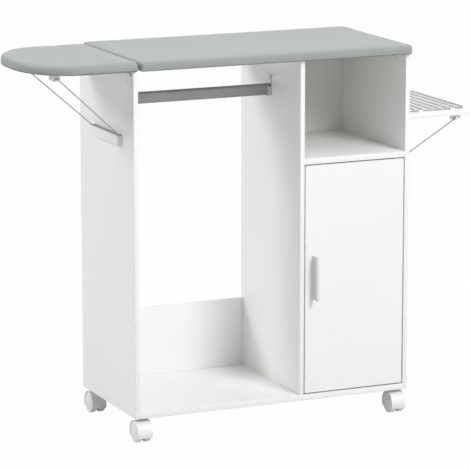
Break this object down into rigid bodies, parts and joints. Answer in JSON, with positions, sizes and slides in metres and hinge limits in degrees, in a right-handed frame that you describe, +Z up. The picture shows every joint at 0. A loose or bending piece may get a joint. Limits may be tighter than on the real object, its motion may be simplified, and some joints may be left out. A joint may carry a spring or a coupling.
{
  "type": "ironing board cabinet",
  "caption": "Open cabinet on castors with a padded ironing top, a fold-out rounded board and iron shelf on wire stays, a hanging rail, a niche and a cupboard with a door.",
  "frame": {"origin": "on the floor, under the middle of the bounding box", "axes": "+X towards the iron shelf, +Y from the front to the back, +Z up"},
  "size_m": [1.232, 0.412, 0.9563],
  "materials": {
    "white_board": "white foil on board, satin",
    "back_sheet": "white lacquered fibre sheet",
    "core_board": "pressed board with a pale balancing foil below",
    "pad_cloth": "plain woven cotton over foam",
    "zinc_steel": "zinc plated",
    "hinge_lacquer": "white lacquered steel",
    "rail_steel": "satin grey",
    "stay_wire": "bright plated wire",
    "handle_metal": "satin",
    "white_plastic": "moulded, satin",
    "castor_plastic": "moulded, satin",
    "axle_steel": "plain steel"
  },
  "bodies": {
    "carcass": {"left_side_panel": "white_board", "middle_panel": "white_board", "right_side_panel": "white_board", "bottom_panel": "white_board", "fixed_shelf": "white_board", "back_panel": "back_sheet", "low_back_board": "white_board", "main_board": "core_board", "main_pad": "pad_cloth", "inner_shelf": "white_board", "shelf_pins": "zinc_steel", "hanging_rail": "rail_steel", "rail_brackets": "zinc_steel", "corner_blocks": "white_plastic", "cam_locks": "zinc_steel", "left_stay_ledge": "white_plastic", "right_stay_ledge": "white_plastic", "extension_hinge_fixed_leaves": "hinge_lacquer", "iron_shelf_hinge_fixed_leaves": "hinge_lacquer", "cabinet_screws": "zinc_steel", "door_pivot_pins": "zinc_steel", "magnetic_catch": "white_plastic", "castor_plates": "zinc_steel"},
    "extension_leaf": {"extension_board": "core_board", "extension_pad": "pad_cloth", "extension_hinge_moving_leaves": "hinge_lacquer", "extension_hinge_pins": "zinc_steel", "extension_clips": "white_plastic", "extension_screws": "zinc_steel"},
    "left_wire_stay": {"left_stay": "stay_wire"},
    "iron_leaf": {"iron_shelf": "white_board", "iron_rest": "stay_wire", "iron_rest_saddles": "white_plastic", "iron_shelf_hinge_moving_leaves": "hinge_lacquer", "iron_shelf_hinge_pins": "zinc_steel", "iron_shelf_clips": "white_plastic", "iron_shelf_screws": "zinc_steel"},
    "right_wire_stay": {"right_stay": "stay_wire"},
    "door_leaf": {"door": "white_board", "door_handle": "handle_metal", "door_bushes": "white_plastic", "strike_plate": "zinc_steel", "door_screws": "zinc_steel"},
    "front_left_swivel": {"castor_front_left_hood": "castor_plastic", "castor_front_left_axle": "axle_steel"},
    "front_left_outer_roller": {"castor_front_left_outer_wheel": "castor_plastic"},
    "front_left_inner_roller": {"castor_front_left_inner_wheel": "castor_plastic"},
    "front_right_swivel": {"castor_front_right_hood": "castor_plastic", "castor_front_right_axle": "axle_steel"},
    "front_right_outer_roller": {"castor_front_right_outer_wheel": "castor_plastic"},
    "front_right_inner_roller": {"castor_front_right_inner_wheel": "castor_plastic"},
    "back_left_swivel": {"castor_back_left_hood": "castor_plastic", "castor_back_left_axle": "axle_steel"},
    "back_left_outer_roller": {"castor_back_left_outer_wheel": "castor_plastic"},
    "back_left_inner_roller": {"castor_back_left_inner_wheel": "castor_plastic"},
    "back_right_swivel": {"castor_back_right_hood": "castor_plastic", "castor_back_right_axle": "axle_steel"},
    "back_right_outer_roller": {"castor_back_right_outer_wheel": "castor_plastic"},
    "back_right_inner_roller": {"castor_back_right_inner_wheel": "castor_plastic"}
  },
  "joints": [
    {"name": "extension_fold", "type": "hinge", "parent": "carcass", "child": "extension_leaf", "pos_m": [-0.364, -0.01, 0.9243], "axis": [0, -1, 0], "range_deg": [0, 83]},
    {"name": "left_stay_swing", "type": "hinge", "parent": "carcass", "child": "left_wire_stay", "pos_m": [-0.3625, -0.01, 0.763], "axis": [0, -1, 0], "range_deg": [0, 132]},
    {"name": "iron_shelf_fold", "type": "hinge", "parent": "carcass", "child": "iron_leaf", "pos_m": [0.402, 0.002, 0.755], "axis": [0, 1, 0], "range_deg": [0, 84]},
    {"name": "right_stay_swing", "type": "hinge", "parent": "carcass", "child": "right_wire_stay", "pos_m": [0.4005, 0.002, 0.6405], "axis": [0, 1, 0], "range_deg": [0, 125]},
    {"name": "door_swing", "type": "hinge", "parent": "carcass", "child": "door_leaf", "pos_m": [0.3725, -0.1715, 0.374], "axis": [0, 0, 1], "range_deg": [0, 105]},
    {"name": "front_left_swivel_turn", "type": "hinge", "parent": "carcass", "child": "front_left_swivel", "pos_m": [-0.332, -0.14, 0.059], "axis": [0, 0, 1], "continuous": true},
    {"name": "front_left_outer_wheel_roll", "type": "hinge", "parent": "front_left_swivel", "child": "front_left_outer_roller", "pos_m": [-0.344, -0.154, 0.027], "axis": [1, 0, 0], "continuous": true},
    {"name": "front_left_inner_wheel_roll", "type": "hinge", "parent": "front_left_swivel", "child": "front_left_inner_roller", "pos_m": [-0.32, -0.154, 0.027], "axis": [1, 0, 0], "continuous": true},
    {"name": "front_right_swivel_turn", "type": "hinge", "parent": "carcass", "child": "front_right_swivel", "pos_m": [0.37, -0.14, 0.059], "axis": [0, 0, 1], "continuous": true},
    {"name": "front_right_outer_wheel_roll", "type": "hinge", "parent": "front_right_swivel", "child": "front_right_outer_roller", "pos_m": [0.382, -0.154, 0.027], "axis": [1, 0, 0], "continuous": true},
    {"name": "front_right_inner_wheel_roll", "type": "hinge", "parent": "front_right_swivel", "child": "front_right_inner_roller", "pos_m": [0.358, -0.154, 0.027], "axis": [1, 0, 0], "continuous": true},
    {"name": "back_left_swivel_turn", "type": "hinge", "parent": "carcass", "child": "back_left_swivel", "pos_m": [-0.332, 0.144, 0.059], "axis": [0, 0, 1], "continuous": true},
    {"name": "back_left_outer_wheel_roll", "type": "hinge", "parent": "back_left_swivel", "child": "back_left_outer_roller", "pos_m": [-0.344, 0.158, 0.027], "axis": [1, 0, 0], "continuous": true},
    {"name": "back_left_inner_wheel_roll", "type": "hinge", "parent": "back_left_swivel", "child": "back_left_inner_roller", "pos_m": [-0.32, 0.158, 0.027], "axis": [1, 0, 0], "continuous": true},
    {"name": "back_right_swivel_turn", "type": "hinge", "parent": "carcass", "child": "back_right_swivel", "pos_m": [0.37, 0.144, 0.059], "axis": [0, 0, 1], "continuous": true},
    {"name": "back_right_outer_wheel_roll", "type": "hinge", "parent": "back_right_swivel", "child": "back_right_outer_roller", "pos_m": [0.382, 0.158, 0.027], "axis": [1, 0, 0], "continuous": true},
    {"name": "back_right_inner_wheel_roll", "type": "hinge", "parent": "back_right_swivel", "child": "back_right_inner_roller", "pos_m": [0.358, 0.158, 0.027], "axis": [1, 0, 0], "continuous": true}
  ],
  "couplings": [
    {"joint": "left_stay_swing", "follows": "extension_fold", "ratio": 1.5903},
    {"joint": "right_stay_swing", "follows": "iron_shelf_fold", "ratio": 1.487}
  ]
}
